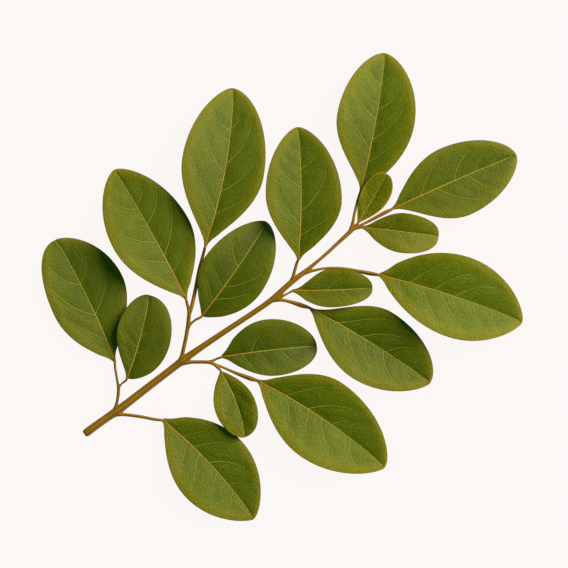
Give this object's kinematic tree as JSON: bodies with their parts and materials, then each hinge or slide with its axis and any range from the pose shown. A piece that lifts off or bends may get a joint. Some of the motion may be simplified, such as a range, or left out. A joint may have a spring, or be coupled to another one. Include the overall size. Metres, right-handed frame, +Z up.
{
  "type": "moringa leaf",
  "caption": "Cut compound leaf lying flat: a thin branching brown rachis with oval green leaflets, each folded a little along its midrib.",
  "frame": {"origin": "on the surface that the leaf lies on, under the middle of its outline", "axes": "+X along the rachis from its cut end to the leaflets at its tip, +Y to the left seen from above, +Z up from the surface"},
  "size_m": [0.0925, 0.0723, 0.0073],
  "materials": {
    "leaf": "satin",
    "stalk": "matte"
  },
  "bodies": {
    "root": {"rachis": "stalk", "leaflet_01": "leaf", "leaflet_02": "leaf", "leaflet_03": "leaf", "leaflet_04": "leaf", "leaflet_05": "leaf", "leaflet_06": "leaf", "leaflet_07": "leaf", "leaflet_08": "leaf", "leaflet_09": "leaf", "leaflet_10": "leaf", "leaflet_11": "leaf", "leaflet_12": "leaf", "leaflet_13": "leaf", "leaflet_14": "leaf", "leaflet_15": "leaf", "leaflet_16": "leaf", "leaflet_17": "leaf"}
  },
  "joints": []
}
